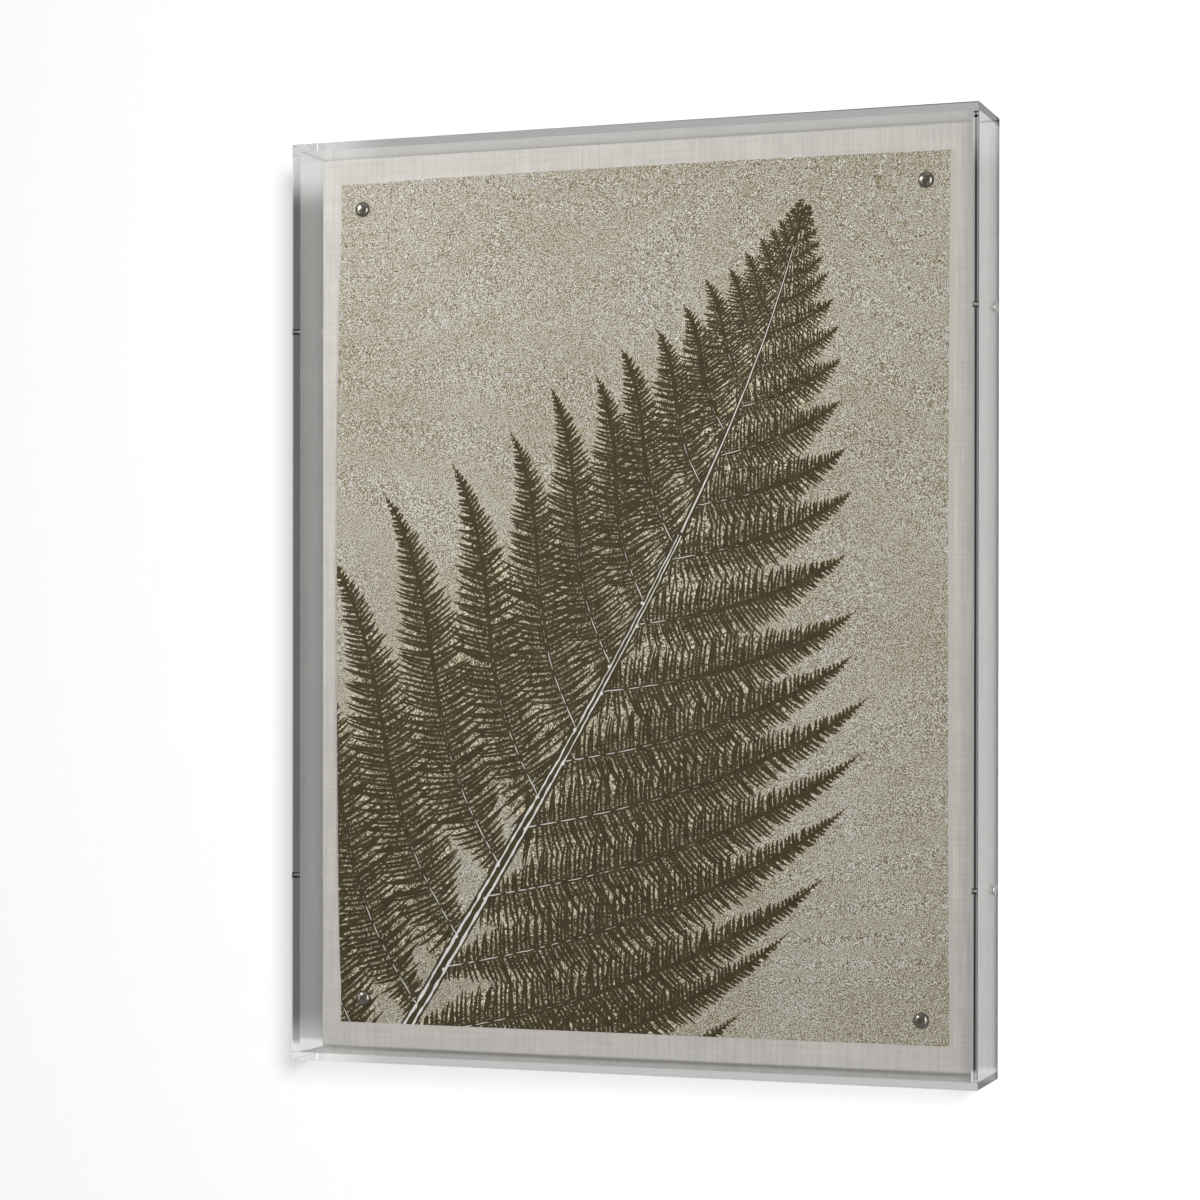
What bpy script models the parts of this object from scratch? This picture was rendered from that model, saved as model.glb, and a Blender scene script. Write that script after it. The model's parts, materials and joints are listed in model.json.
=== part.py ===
"""A clear box frame holding a fern print that is nailed to a linen-covered panel.

Metres, +Z up. The front faces -Y, and the back lies against the wall at y = 0. The origin is
on the back of the top bar, half way across, where the hung frame meets the wall.
"""
import math

import bmesh
import bpy
from mathutils import Vector

# The clear case
CASE_WIDTH = 0.503
CASE_HEIGHT = 0.660
CASE_DEPTH = 0.066
ACRYLIC = 0.005
GAP = 0.0003                     # between two pieces that touch

# The linen-covered panel inside it
LINEN_SETBACK = 0.0424           # from the front of the case to the face of the linen
PANEL_CLEARANCE = 0.0005
LINEN = 0.0007
LINEN_TURN_IN = 0.016            # the cloth folded over the back of the bars
BOARD = 0.003
BAR_WIDTH = 0.045

# The printed sheet, bowed forward between its nails
SHEET_WIDTH = 0.457
SHEET_HEIGHT = 0.612
SHEET_THICKNESS = 0.0005
SHEET_SHIFT = -0.002             # it hangs slightly left of the middle
SHEET_EDGE_MARGIN = 0.009        # outside the nail heads
SHEET_HELD_MARGIN = 0.030        # lies flat this far in from each end, under the nails
LEFT_LIFT = 0.0080
RIGHT_LIFT = 0.0055
TOP_LEFT_LIFT = 0.0090
TOP_RIGHT_LIFT = 0.0050
LIFT_FULLNESS = 0.6
SHEET_COLUMNS = 14
SHEET_ROWS = 18

# Dome-headed nails at the corners of the sheet
NAIL_HEAD_RADIUS = 0.0057
NAIL_HEAD_HEIGHT = 0.0040
NAIL_SHANK_RADIUS = 0.0010
NAIL_LENGTH = 0.014
NAIL_INSETS = {                  # from the sheet's side edge and from its top or bottom edge
    "top_left": (0.0170, 0.0188),
    "top_right": (0.0202, 0.0198),
    "bottom_left": (0.0183, 0.0178),
    "bottom_right": (0.0226, 0.0172),
}

# Screws through the side walls into the bars
SCREW_HEIGHT = 0.199             # above and below the middle of the case
SCREW_SETBACK = 0.051            # behind the front of the case
SCREW_HEAD_RADIUS = 0.0040
SCREW_HEAD_HEIGHT = 0.0020
SCREW_SHANK_RADIUS = 0.0017
SCREW_LENGTH = 0.022
SCREW_SOCKET_RADIUS = 0.0013
SCREW_SOCKET_DEPTH = 0.0011

ROUND_STEPS = 24
DOME_STEPS = 6
MERGE = 0.000001

INNER_WIDTH = CASE_WIDTH - 2 * ACRYLIC
INNER_HEIGHT = CASE_HEIGHT - 2 * ACRYLIC
FRONT = -CASE_DEPTH
LINEN_FACE = FRONT + LINEN_SETBACK
PANEL_WIDTH = INNER_WIDTH - 2 * PANEL_CLEARANCE
PANEL_HEIGHT = INNER_HEIGHT - 2 * PANEL_CLEARANCE
MIDDLE_Z = LINEN_TURN_IN / 2 - PANEL_HEIGHT / 2
CORE_WIDTH = PANEL_WIDTH - 2 * (LINEN + GAP)
CORE_HEIGHT = PANEL_HEIGHT - 2 * (LINEN + GAP)
BOARD_FACE = LINEN_FACE + LINEN + GAP
BAR_FACE = BOARD_FACE + BOARD + GAP
BAR_BACK = -(LINEN + GAP)
SHEET_BACK = LINEN_FACE - GAP
SCREW_Y = FRONT + SCREW_SETBACK


def clear_scene():
    for old in list(bpy.data.objects):
        bpy.data.objects.remove(old, do_unlink=True)


def add_material(name, colour, roughness, metallic=0.0, transmission=0.0):
    material = bpy.data.materials.new(name)
    material.use_nodes = True
    shader = material.node_tree.nodes["Principled BSDF"]
    shader.inputs["Base Color"].default_value = (*colour, 1.0)
    shader.inputs["Roughness"].default_value = roughness
    shader.inputs["Metallic"].default_value = metallic
    shader.inputs["Transmission Weight"].default_value = transmission
    return material


def acrylic(name):
    return add_material(name, (0.93, 0.95, 0.94), 0.03, transmission=1.0)


def linen(name):
    return add_material(name, (0.66, 0.63, 0.58), 0.9)


def fibreboard(name):
    return add_material(name, (0.40, 0.28, 0.18), 0.8)


def pine(name):
    return add_material(name, (0.72, 0.55, 0.35), 0.65)


def printed_paper(name):
    return add_material(name, (0.42, 0.38, 0.29), 0.85)


def old_nickel(name):
    return add_material(name, (0.34, 0.31, 0.27), 0.3, metallic=1.0)


def plated_steel(name):
    return add_material(name, (0.60, 0.60, 0.58), 0.3, metallic=1.0)


def add_object(name, mesh, finish, anchor):
    piece = bpy.data.objects.new(name, mesh)
    bpy.context.scene.collection.objects.link(piece)
    piece.parent = anchor
    if finish is None:
        piece.hide_render = True
        piece.display_type = "WIRE"
    elif mesh.materials:
        piece.material_slots[0].link = "OBJECT"
        piece.material_slots[0].material = finish(name)
    else:
        mesh.materials.append(finish(name))
    return piece


def mesh_from(bm, name):
    bmesh.ops.recalc_face_normals(bm, faces=bm.faces)
    mesh = bpy.data.meshes.new(name)
    bm.to_mesh(mesh)
    bm.free()
    return mesh


def block_mesh(name, low, high):
    """A block between two opposite corners."""
    low, high = Vector(low), Vector(high)
    bm = bmesh.new()
    bmesh.ops.create_cube(bm, size=1.0)
    bmesh.ops.scale(bm, vec=high - low, verts=bm.verts)
    bmesh.ops.translate(bm, vec=(low + high) / 2, verts=bm.verts)
    return mesh_from(bm, name)


def turned_mesh(name, profile):
    """A solid turned about Z from (radius, height) points that start and end on the axis."""
    bm = bmesh.new()
    points = [bm.verts.new((radius, 0.0, height)) for radius, height in profile]
    edges = [bm.edges.new(pair) for pair in zip(points, points[1:])]
    bmesh.ops.spin(bm, geom=points + edges, cent=(0, 0, 0), axis=(0, 0, 1),
                   angle=2 * math.pi, steps=ROUND_STEPS, use_merge=True)
    bmesh.ops.remove_doubles(bm, verts=bm.verts, dist=MERGE)
    mesh = mesh_from(bm, name)
    mesh.shade_smooth()
    mesh.set_sharp_from_angle(angle=math.radians(40))
    return mesh


def cut(piece, cutters):
    for cutter in cutters:
        boolean = piece.modifiers.new(cutter.name, "BOOLEAN")
        boolean.operation = "DIFFERENCE"
        boolean.solver = "EXACT"
        boolean.object = cutter


def dome(radius, height):
    """Points of a rounded cap, from its rim to its crown."""
    turns = [math.pi / 2 * step / DOME_STEPS for step in range(DOME_STEPS + 1)]
    return [(radius * math.cos(turn), height * math.sin(turn)) for turn in turns]


def rise(place, length):
    """How far the sheet has risen between its ends: 0 under the nails, 1 half way."""
    held = SHEET_HELD_MARGIN / length
    free = min(max((place - held) / (1 - 2 * held), 0.0), 1.0)
    return math.sin(math.pi * free) ** LIFT_FULLNESS if 0 < free < 1 else 0.0


def sheet_lift(across, up):
    """How far the sheet stands off the linen; across and up run from 0 to 1."""
    upright = rise(up, SHEET_HEIGHT)
    level = rise(across, SHEET_WIDTH)
    side = LEFT_LIFT * (1 - across) + RIGHT_LIFT * across
    top = TOP_LEFT_LIFT * (1 - across) + TOP_RIGHT_LIFT * across
    return side * upright + top * level * up ** 4 * (1 - upright)


def grid_line(index, count, length):
    """The place of a grid line: one outside the nails, one inside them, the rest even."""
    if index == 0:
        return 0.0
    if index == 1:
        return SHEET_EDGE_MARGIN
    if index > count / 2:
        return length - grid_line(count - index, count, length)
    step = (length - 2 * SHEET_HELD_MARGIN) / (count - 4)
    return SHEET_HELD_MARGIN + (index - 2) * step


def nail_places():
    """Each nail's name and its x and z."""
    for name, (side_inset, end_inset) in NAIL_INSETS.items():
        sideways = -1 if "left" in name else 1
        upwards = -1 if "bottom" in name else 1
        x = SHEET_SHIFT + sideways * (SHEET_WIDTH / 2 - side_inset)
        z = upwards * (SHEET_HEIGHT / 2 - end_inset)
        yield name, x, z


def screw_places():
    """Each screw's name, the side that it is on and its z."""
    for side_name, sideways in (("left", -1), ("right", 1)):
        for end_name, upwards in (("upper", 1), ("lower", -1)):
            yield side_name + "_" + end_name, sideways, upwards * SCREW_HEIGHT


def make_nail_cutters(anchor):
    radius = NAIL_SHANK_RADIUS + GAP
    profile = [(0, -NAIL_LENGTH - GAP), (radius, -NAIL_LENGTH - GAP), (radius, 0.005), (0, 0.005)]
    mesh = turned_mesh("nail_hole", profile)
    cutters = {}
    for name, x, z in nail_places():
        cutter = add_object("nail_hole_" + name, mesh, None, anchor)
        cutter.location = (x, SHEET_BACK - SHEET_THICKNESS, z)
        cutter.rotation_euler = (math.pi / 2, 0, 0)
        cutters[name] = cutter
    return cutters


def make_screw_cutters(anchor):
    radius = SCREW_SHANK_RADIUS + GAP
    profile = [(0, -SCREW_LENGTH - GAP), (radius, -SCREW_LENGTH - GAP), (radius, 0.005), (0, 0.005)]
    mesh = turned_mesh("screw_hole", profile)
    cutters = {}
    for name, sideways, z in screw_places():
        cutter = add_object("screw_hole_" + name, mesh, None, anchor)
        cutter.location = (sideways * CASE_WIDTH / 2, SCREW_Y, z)
        cutter.rotation_euler = (0, sideways * math.pi / 2, 0)
        cutters[name] = cutter
    return cutters


def make_case(anchor, screw_cutters):
    """Five clear plates: the walls are cemented to the back of the front sheet."""
    half_width, half_height = CASE_WIDTH / 2, CASE_HEIGHT / 2
    inner_x, inner_z = INNER_WIDTH / 2, INNER_HEIGHT / 2
    wall_front = FRONT + ACRYLIC + GAP
    plates = {
        "front_sheet": ((-half_width, FRONT, -half_height), (half_width, FRONT + ACRYLIC, half_height)),
        "left_wall": ((-half_width, wall_front, -half_height), (-inner_x, 0, half_height)),
        "right_wall": ((inner_x, wall_front, -half_height), (half_width, 0, half_height)),
        "top_wall": ((GAP - inner_x, wall_front, inner_z), (inner_x - GAP, 0, half_height)),
        "bottom_wall": ((GAP - inner_x, wall_front, -half_height), (inner_x - GAP, 0, -inner_z)),
    }
    for name, (low, high) in plates.items():
        plate = add_object(name, block_mesh(name, low, high), acrylic, anchor)
        side = name.split("_")[0]
        cut(plate, [cutter for key, cutter in screw_cutters.items() if key.startswith(side + "_")])


def make_linen_cover(anchor, cutters):
    """Cloth over the front and sides of the panel, turned in over the back of its bars."""
    half_width, half_height = PANEL_WIDTH / 2, PANEL_HEIGHT / 2
    outside = block_mesh("linen_cover", (-half_width, LINEN_FACE, -half_height),
                         (half_width, 0, half_height))
    cover = add_object("linen_cover", outside, linen, anchor)
    inside = block_mesh("linen_inside", (LINEN - half_width, LINEN_FACE + LINEN, LINEN - half_height),
                        (half_width - LINEN, -LINEN, half_height - LINEN))
    window_x, window_z = half_width - LINEN_TURN_IN, half_height - LINEN_TURN_IN
    window = block_mesh("linen_window", (-window_x, -0.005, -window_z), (window_x, 0.005, window_z))
    hollow = add_object("linen_inside", inside, None, anchor)
    opening = add_object("linen_window", window, None, anchor)
    cut(cover, [hollow, opening, *cutters])


def make_panel(anchor, nail_cutters, screw_cutters):
    """A thin board on four bars; the side bars run the full height, past the other two."""
    x, z = CORE_WIDTH / 2, CORE_HEIGHT / 2
    inner_x, inner_z = x - BAR_WIDTH, z - BAR_WIDTH
    board = block_mesh("mount_board", (-x, BOARD_FACE, -z), (x, BOARD_FACE + BOARD, z))
    cut(add_object("mount_board", board, fibreboard, anchor), nail_cutters.values())
    bars = {
        "top_bar": ((GAP - inner_x, BAR_FACE, inner_z), (inner_x - GAP, BAR_BACK, z)),
        "bottom_bar": ((GAP - inner_x, BAR_FACE, -z), (inner_x - GAP, BAR_BACK, -inner_z)),
        "left_bar": ((-x, BAR_FACE, -z), (-inner_x, BAR_BACK, z)),
        "right_bar": ((inner_x, BAR_FACE, -z), (x, BAR_BACK, z)),
    }
    for name, (low, high) in bars.items():
        bar = add_object(name, block_mesh(name, low, high), pine, anchor)
        side = name.split("_")[0]
        nail_holes = [cutter for key, cutter in nail_cutters.items() if key.endswith("_" + side)]
        screw_holes = [cutter for key, cutter in screw_cutters.items() if key.startswith(side + "_")]
        cut(bar, nail_holes + screw_holes)


def make_print_sheet(anchor, nail_cutters):
    """One heavy sheet, flat under its nails and bowed forward between them."""
    bm = bmesh.new()
    bmesh.ops.create_grid(bm, x_segments=SHEET_COLUMNS, y_segments=SHEET_ROWS, size=0.5)
    for vert in bm.verts:
        column = round((vert.co.x + 0.5) * SHEET_COLUMNS)
        row = round((vert.co.y + 0.5) * SHEET_ROWS)
        x = grid_line(column, SHEET_COLUMNS, SHEET_WIDTH)
        z = grid_line(row, SHEET_ROWS, SHEET_HEIGHT)
        lift = sheet_lift(x / SHEET_WIDTH, z / SHEET_HEIGHT)
        vert.co = (x - SHEET_WIDTH / 2 + SHEET_SHIFT, SHEET_BACK - lift, z - SHEET_HEIGHT / 2)
    front = bmesh.ops.extrude_face_region(bm, geom=list(bm.faces))["geom"]
    moved = [part for part in front if isinstance(part, bmesh.types.BMVert)]
    bmesh.ops.translate(bm, vec=(0, -SHEET_THICKNESS, 0), verts=moved)
    sheet = add_object("print_sheet", mesh_from(bm, "print_sheet"), printed_paper, anchor)
    cut(sheet, nail_cutters.values())


def make_nails(anchor):
    profile = [(0, -NAIL_LENGTH), (NAIL_SHANK_RADIUS, -NAIL_LENGTH + 0.003), (NAIL_SHANK_RADIUS, 0)]
    mesh = turned_mesh("nail", profile + dome(NAIL_HEAD_RADIUS, NAIL_HEAD_HEIGHT))
    for name, x, z in nail_places():
        nail = add_object("nail_" + name, mesh, old_nickel, anchor)
        nail.location = (x, SHEET_BACK - SHEET_THICKNESS - GAP, z)
        nail.rotation_euler = (math.pi / 2, 0, 0)


def make_screws(anchor):
    """Round-headed screws with a small round socket in the head."""
    floor = SCREW_HEAD_HEIGHT - SCREW_SOCKET_DEPTH
    cap = dome(SCREW_HEAD_RADIUS, SCREW_HEAD_HEIGHT)
    head = [(radius, height) for radius, height in cap if radius > SCREW_SOCKET_RADIUS]
    socket = [(SCREW_SOCKET_RADIUS, head[-1][1]), (SCREW_SOCKET_RADIUS, floor), (0, floor)]
    shank = [(0, -SCREW_LENGTH), (SCREW_SHANK_RADIUS, 0.004 - SCREW_LENGTH), (SCREW_SHANK_RADIUS, 0)]
    mesh = turned_mesh("screw", shank + head + socket)
    for name, sideways, z in screw_places():
        screw = add_object("screw_" + name, mesh, plated_steel, anchor)
        screw.location = (sideways * (CASE_WIDTH / 2 + GAP), SCREW_Y, z)
        screw.rotation_euler = (0, sideways * math.pi / 2, 0)


def main():
    clear_scene()
    anchor = bpy.data.objects.new("case_middle", None)
    bpy.context.scene.collection.objects.link(anchor)
    anchor.location = (0, 0, MIDDLE_Z)
    nail_cutters = make_nail_cutters(anchor)
    screw_cutters = make_screw_cutters(anchor)
    make_case(anchor, screw_cutters)
    make_linen_cover(anchor, [*nail_cutters.values(), *screw_cutters.values()])
    make_panel(anchor, nail_cutters, screw_cutters)
    make_print_sheet(anchor, nail_cutters)
    make_nails(anchor)
    make_screws(anchor)


main()
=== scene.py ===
"""A clear box frame: a fern print nailed to a linen-covered panel inside a shallow acrylic case.

Metres, +Z up. The front faces -Y and the back lies against the wall at y = 0.
"""
import json
import math
import random
from functools import cached_property

import bmesh
import bpy
import numpy as np
from bpy.props import FloatProperty, FloatVectorProperty, IntProperty, PointerProperty
from mathutils import Matrix, Vector, noise
from mathutils.geometry import delaunay_2d_cdt

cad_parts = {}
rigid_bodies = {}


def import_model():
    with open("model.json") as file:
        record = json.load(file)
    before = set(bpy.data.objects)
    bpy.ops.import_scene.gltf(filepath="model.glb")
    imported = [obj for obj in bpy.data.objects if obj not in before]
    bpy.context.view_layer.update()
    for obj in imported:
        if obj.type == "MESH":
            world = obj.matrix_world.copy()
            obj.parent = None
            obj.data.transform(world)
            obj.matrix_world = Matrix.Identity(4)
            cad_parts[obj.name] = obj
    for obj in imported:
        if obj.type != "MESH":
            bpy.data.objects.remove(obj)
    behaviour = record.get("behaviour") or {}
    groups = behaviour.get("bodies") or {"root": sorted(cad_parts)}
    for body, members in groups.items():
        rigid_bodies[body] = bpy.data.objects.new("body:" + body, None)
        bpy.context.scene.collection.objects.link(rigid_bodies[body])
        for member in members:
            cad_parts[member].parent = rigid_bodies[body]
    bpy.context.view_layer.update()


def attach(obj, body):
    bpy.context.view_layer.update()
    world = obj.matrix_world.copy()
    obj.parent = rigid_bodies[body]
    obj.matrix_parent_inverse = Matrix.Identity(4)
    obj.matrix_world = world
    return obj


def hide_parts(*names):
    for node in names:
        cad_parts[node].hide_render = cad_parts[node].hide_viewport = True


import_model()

bl_info = {
    "name": "Clear Box Frame",
    "version": (1, 0, 0),
    "blender": (4, 5, 0),
    "location": "3D View > Sidebar > Box Frame",
    "description": "Builds a clear box frame that holds a fern print on a linen-covered panel",
    "category": "Object",
}

# The same measures as the solids
CASE_WIDTH = 0.503
CASE_HEIGHT = 0.660
CASE_DEPTH = 0.066
ACRYLIC = 0.005
GAP = 0.0003
FRONT = -CASE_DEPTH
LINEN_FACE = -0.0236
LINEN = 0.0007
LINEN_TURN_IN = 0.016
PANEL_WIDTH = 0.492
PANEL_HEIGHT = 0.649
MIDDLE_Z = LINEN_TURN_IN / 2 - PANEL_HEIGHT / 2
RIM_X = CASE_WIDTH / 2 - ACRYLIC / 2          # half way through the case's walls
RIM_Z = CASE_HEIGHT / 2 - ACRYLIC / 2
SHEET_WIDTH = 0.457
SHEET_HEIGHT = 0.612
SHEET_THICKNESS = 0.0005
SHEET_SHIFT = -0.002
SHEET_HELD_MARGIN = 0.030
LEFT_LIFT = 0.0080
RIGHT_LIFT = 0.0055
TOP_LEFT_LIFT = 0.0090
TOP_RIGHT_LIFT = 0.0050
LIFT_FULLNESS = 0.6
SHEET_BACK = LINEN_FACE - GAP
BARE_MARGIN = 0.0033             # unprinted strip along the right edge
NAIL_HEAD_RADIUS = 0.0057
NAIL_HEAD_HEIGHT = 0.0040
NAIL_SHANK_RADIUS = 0.0010
NAIL_LENGTH = 0.014
NAIL_INSETS = {
    "top_left": (0.0170, 0.0188),
    "top_right": (0.0202, 0.0198),
    "bottom_left": (0.0183, 0.0178),
    "bottom_right": (0.0226, 0.0172),
}
SCREW_HEIGHT = 0.199
SCREW_Y = -0.015
SCREW_HEAD_RADIUS = 0.0040
SCREW_HEAD_HEIGHT = 0.0020
SCREW_SHANK_RADIUS = 0.0017
SCREW_LENGTH = 0.022
SCREW_SOCKET_RADIUS = 0.0013
SCREW_SOCKET_DEPTH = 0.0011

STAGE_NAMES = ("wall_", "room_", "shade_", "floor")
MERGE = 0.000001
LARGE_FACE = 0.0008              # square metres
WALL_SEEN_Y, ROOM_Y = 0.0006, 0.0009
WALL_HALF_WIDTH, WALL_TOP, FLOOR_Z = 3.5, 2.5, -1.45
WALL_HOLE = (0.232, 0.310)       # half the width and height of the hole behind the panel
SQUARE_TURN = 0.5                # radians; sharper edges are corners
WHITE = (1.0, 1.0, 1.0)

# Colours of the print that go with its ink and its ground
WHITE_SPECK = (0.68, 0.67, 0.66)
DARK_SPECK = (0.085, 0.068, 0.026)
PALE_GAP = (0.92, 0.82, 0.60)
THIN_INK = (0.054, 0.038, 0.009)
PALE_LINE = (0.68, 0.665, 0.64)

COLOUR = {"subtype": "COLOR", "size": 3, "min": 0.0, "max": 1.0}
LENGTH = {"subtype": "DISTANCE", "unit": "LENGTH"}
POWER = {"unit": "POWER", "min": 0.0}


class ClearCaseSettings(bpy.types.PropertyGroup):
    """Finish of the clear case."""
    tint: FloatVectorProperty(
        name="Tint", description="Colour of the clear sheet itself",
        default=(0.985, 0.99, 0.985), **COLOUR)
    edge_colour: FloatVectorProperty(
        name="Edge colour", description="Colour seen along the depth of a cut edge",
        default=(0.72, 0.80, 0.80), **COLOUR)
    edge_strength: FloatProperty(
        name="Edge strength", description="How quickly the clear sheet darkens with depth",
        min=0.0, max=50.0, default=3.0)
    edge_round: FloatProperty(
        name="Edge rounding", description="Width of the polished arris on the outer edges",
        min=0.0001, max=0.0015, default=0.0004, **LENGTH)


class FernPrintSettings(bpy.types.PropertyGroup):
    """Colours and grain of the printed sheet."""
    ink: FloatVectorProperty(
        name="Ink", description="Dark brown of the fern", default=(0.030, 0.019, 0.003), **COLOUR)
    pale_grain: FloatVectorProperty(
        name="Pale grain", description="Warm grey of the bare ground",
        default=(0.56, 0.53, 0.49), **COLOUR)
    olive_grain: FloatVectorProperty(
        name="Olive grain", description="Olive of the ground's darker grains",
        default=(0.180, 0.134, 0.031), **COLOUR)
    grain_size: FloatProperty(
        name="Grain size", description="Size of one stippled grain",
        min=0.0003, max=0.005, default=0.00062, **LENGTH)
    seed: IntProperty(
        name="Seed", description="Changes every frond's small irregularities", min=0, default=7)


class LinenSettings(bpy.types.PropertyGroup):
    """Colour and weave of the cloth on the panel."""
    colour: FloatVectorProperty(
        name="Colour", description="Natural off-white of the linen",
        default=(0.562, 0.537, 0.506), **COLOUR)
    thread: FloatProperty(
        name="Thread spacing", description="Distance between two threads of the weave",
        min=0.0002, max=0.003, default=0.0008, **LENGTH)


class HardwareSettings(bpy.types.PropertyGroup):
    """Metal of the nails and the screws."""
    nail_colour: FloatVectorProperty(
        name="Nail metal", description="Dark old nickel", default=(0.25, 0.23, 0.195), **COLOUR)
    screw_colour: FloatVectorProperty(
        name="Screw metal", description="Bright plated steel", default=(0.62, 0.62, 0.60), **COLOUR)


class PanelWoodSettings(bpy.types.PropertyGroup):
    """Wood of the bars and the board behind the linen."""
    pine: FloatVectorProperty(
        name="Pine", description="Pale early wood of the bars", default=(0.66, 0.47, 0.28), **COLOUR)
    board: FloatVectorProperty(
        name="Board", description="Brown of the fibreboard", default=(0.30, 0.19, 0.11), **COLOUR)


class StudioSettings(bpy.types.PropertyGroup):
    """Wall, floor and light around the frame."""
    key_power: FloatProperty(
        name="Key light", description="Power of the soft light in front and to the right",
        default=41.0, **POWER)
    fill_power: FloatProperty(
        name="Fill light", description="Power of the soft light on the pieces, up and to the left",
        default=12.0, **POWER)
    box_power: FloatProperty(
        name="Soft boxes", description="Power of the large lights that only shine in reflections",
        default=20.0, **POWER)
    back_power: FloatProperty(
        name="Back light", description="Power of the light behind the wall", default=14.0, **POWER)
    # Strength of the room sheets' glow, with its painted highlights and painted shade lines.
    room: FloatProperty(
        name="Room", description="How light the room's walls are, as seen in and through the case",
        min=0.0, max=1.0, default=0.24)
    shade: FloatProperty(
        name="Shade", description="How much light the case's walls keep from the wall behind",
        min=0.0, max=1.0, default=1.0)
    surround: FloatProperty(
        name="Surround", description="Brightness of the plain room", min=0.0, max=2.0,
        default=0.16)


SETTINGS = {
    "box_frame_case": ClearCaseSettings,
    "box_frame_print": FernPrintSettings,
    "box_frame_linen": LinenSettings,
    "box_frame_hardware": HardwareSettings,
    "box_frame_wood": PanelWoodSettings,
    "box_frame_studio": StudioSettings,
}


def settings(context, name):
    return getattr(context.scene, "box_frame_" + name)


def shaded(colour, share):
    """A colour made darker or paler."""
    return tuple(min(1.0, part * share) for part in colour)


class Finish:
    """A material, with the nodes that give its colour, its gloss and its relief."""

    def __init__(self, name):
        self.material = bpy.data.materials.new(name)
        self.material.use_nodes = True
        self.tree = self.material.node_tree
        self.shader = self.tree.nodes["Principled BSDF"]

    @cached_property
    def place(self):
        """The piece's own place, in metres."""
        return self.node("TexCoord").outputs["Object"]

    def feed(self, socket, value):
        """Gives a socket its value, colour or link."""
        if isinstance(value, bpy.types.NodeSocket):
            self.tree.links.new(value, socket)
        elif socket.type == "RGBA":
            socket.default_value = (*value, 1.0)
        else:
            socket.default_value = value

    def node(self, kind, inputs=None, **values):
        """A node with its own values set and its inputs linked or given."""
        node = self.tree.nodes.new("ShaderNode" + kind)
        for key, value in values.items():
            setattr(node, key, value)
        for key, value in (inputs or {}).items():
            self.feed(node.inputs[key], value)
        return node

    def speckle(self, scale, detail=2.0, rough=0.5, offset=(0.0, 0.0, 0.0), stretch=(1.0, 1.0, 1.0)):
        """Noise from 0 to 1 over the piece."""
        moved = self.node("Mapping", {"Vector": self.place, "Location": offset, "Scale": stretch})
        made = self.node("TexNoise", {"Vector": moved.outputs["Vector"], "Scale": scale,
                                      "Detail": detail, "Roughness": rough})
        return made.outputs["Fac"]

    def calculate(self, operation, first, second=0.0):
        return self.node("Math", {0: first, 1: second}, operation=operation).outputs[0]

    def add(self, first, second):
        return self.calculate("ADD", first, second)

    def times(self, first, second):
        return self.calculate("MULTIPLY", first, second)

    def remap(self, value, low, high, to_low=0.0, to_high=1.0, smooth=False):
        return self.node("MapRange", {
            "Value": value, "From Min": low, "From Max": high, "To Min": to_low, "To Max": to_high},
            interpolation_type="SMOOTHSTEP" if smooth else "LINEAR").outputs[0]

    def between(self, value, low, high, soft):
        """One between two values and nothing outside them."""
        return self.times(self.remap(value, low - soft, low + soft),
                          self.remap(value, high + soft, high - soft))

    def mix(self, share, first, second):
        """Two colours mixed, each a socket or a plain colour."""
        return self.node("Mix", {0: share, 6: first, 7: second}, data_type="RGBA").outputs[2]

    def bump(self, height, distance, strength):
        return self.node("Bump", {"Height": height, "Distance": distance,
                                  "Strength": strength}).outputs["Normal"]

    def output(self, name, socket):
        self.tree.links.new(socket, self.tree.nodes["Material Output"].inputs[name])

    def clear_from_behind(self, surface):
        """See-through from behind, so that the back can be looked at."""
        behind = self.node("NewGeometry").outputs["Backfacing"]
        through = self.node("BsdfTransparent").outputs["BSDF"]
        chooser = self.node("MixShader", {0: behind, 1: surface, 2: through})
        self.output("Surface", chooser.outputs[0])
        return self.material

    def finished(self, values):
        """Gives the shader its values and returns the material."""
        for name, value in values.items():
            self.feed(self.shader.inputs[name], value)
        return self.material


def clear_material(look):
    """Clear cast acrylic: plain transmission, faintly grey-green along a cut edge."""
    acrylic = Finish("clear_acrylic")
    depth = acrylic.node("VolumeAbsorption", {"Color": look.edge_colour, "Density": look.edge_strength})
    acrylic.output("Volume", depth.outputs["Volume"])
    return acrylic.finished({
        "Base Color": look.tint, "Roughness": 0.0, "IOR": 1.49, "Transmission Weight": 1.0})


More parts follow.
